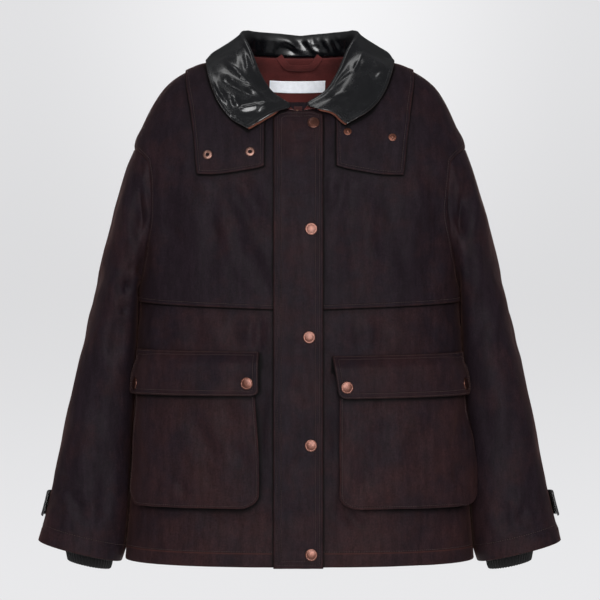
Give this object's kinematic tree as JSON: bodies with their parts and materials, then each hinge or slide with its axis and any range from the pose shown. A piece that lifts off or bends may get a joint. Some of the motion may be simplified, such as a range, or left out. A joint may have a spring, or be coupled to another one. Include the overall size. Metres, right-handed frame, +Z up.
{
  "type": "waxed cotton jacket",
  "caption": "Hip-length waxed cotton jacket in worn form: leather collar, shoulder cape, storm placket with snaps, bellows pockets and knit inner cuffs.",
  "frame": {"origin": "middle of the neck at the height of the neck points, where the wearer's shoulders and neck hold the jacket", "axes": "+Z up, -Y the front of the jacket, +X the wearer's left"},
  "size_m": [0.7308, 0.2773, 0.757],
  "materials": {
    "waxed_cotton": "waxed satin, mottled",
    "collar_leather": "glossy, wrinkled",
    "rust_lining": "matt twill",
    "rib_knit": "matt rib knit",
    "label_cloth": "woven, bare",
    "zip": "aged metal zip",
    "copper_snap": "polished copper plate"
  },
  "bodies": {
    "root": {"back": "waxed_cotton", "back_lining": "rust_lining", "cape": "waxed_cotton", "chin_guard": "rust_lining", "collar": "collar_leather", "cuff_strap_left": "collar_leather", "cuff_strap_right": "collar_leather", "flap_left": "waxed_cotton", "flap_right": "waxed_cotton", "front_lower_left": "waxed_cotton", "front_lower_right": "waxed_cotton", "front_upper_left": "waxed_cotton", "front_upper_right": "waxed_cotton", "hanger_loop": "waxed_cotton", "knit_cuff_left": "rib_knit", "knit_cuff_right": "rib_knit", "label": "label_cloth", "placket": "waxed_cotton", "pocket_left": "waxed_cotton", "pocket_right": "waxed_cotton", "sleeve_left": "waxed_cotton", "sleeve_right": "waxed_cotton", "snap_flap_left_in": "copper_snap", "snap_flap_left_side": "copper_snap", "snap_flap_right_in": "copper_snap", "snap_flap_right_side": "copper_snap", "snap_placket_1": "copper_snap", "snap_placket_2": "copper_snap", "snap_placket_3": "copper_snap", "snap_placket_4": "copper_snap", "snap_placket_5": "copper_snap", "snap_strap_left": "copper_snap", "snap_strap_right": "copper_snap", "socket_1": "copper_snap", "socket_2": "copper_snap", "stud_1": "copper_snap", "stud_2": "copper_snap", "undercollar": "rust_lining", "zip": "zip"}
  },
  "joints": []
}
